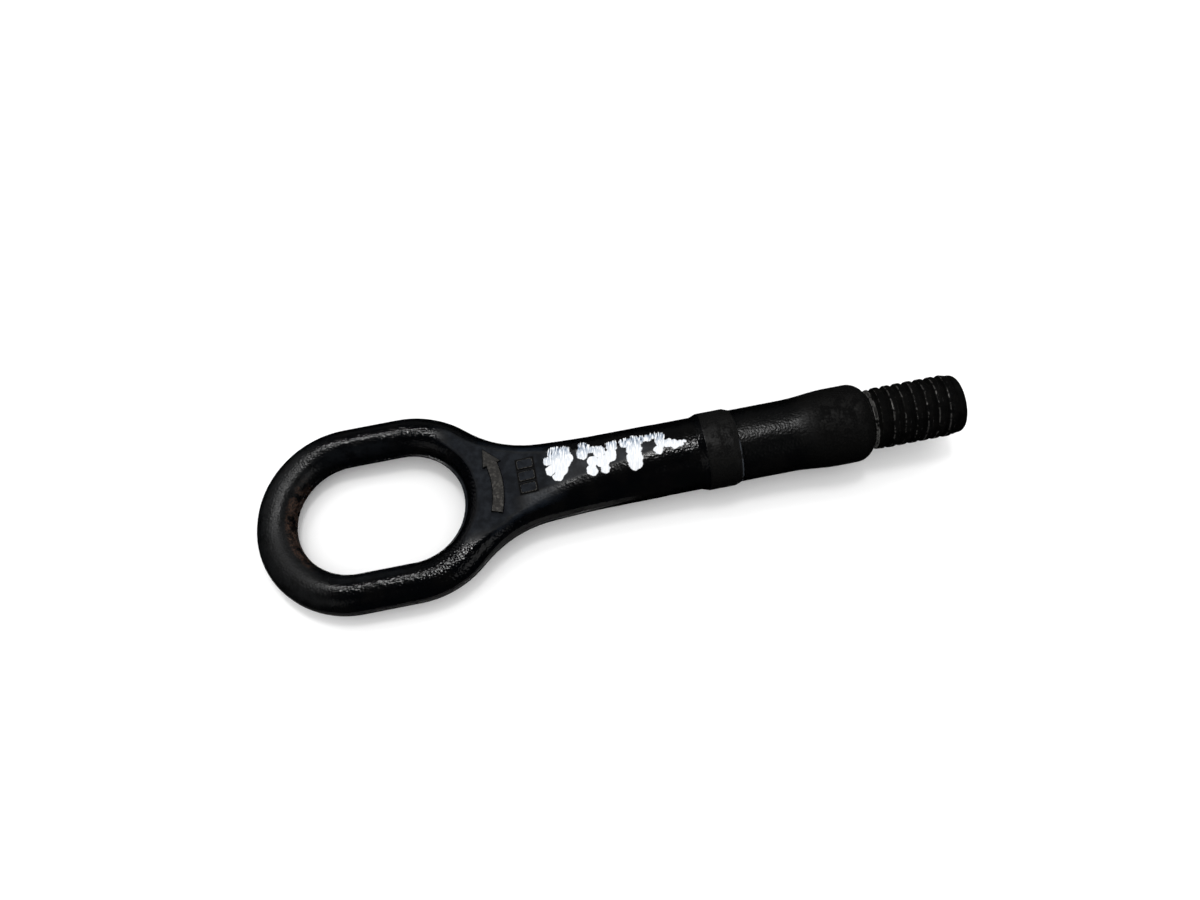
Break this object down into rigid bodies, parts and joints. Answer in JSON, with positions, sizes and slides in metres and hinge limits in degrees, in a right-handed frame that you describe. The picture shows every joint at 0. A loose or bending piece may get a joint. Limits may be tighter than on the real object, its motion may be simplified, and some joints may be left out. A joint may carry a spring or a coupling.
{
  "type": "screw-in tow eye",
  "caption": "Forged steel screw-in tow eye: a long oval ring blending through a flat neck into a round shank with guide lands and a coarse left-hand thread.",
  "frame": {"origin": "on the shank axis in the plane of the seat, where the shoulder ends and the thread begins", "axes": "+X along the shank from ring to thread tip, +Z square to the ring's plane on the arrow's side, +Y across the ring"},
  "size_m": [0.2039, 0.0554, 0.0226],
  "materials": {
    "black_enamel": "semi-gloss black enamel over forged steel, worn brown-grey on arrow, collar and bulge"
  },
  "bodies": {
    "root": {"tow_eye": "black_enamel"}
  },
  "joints": []
}
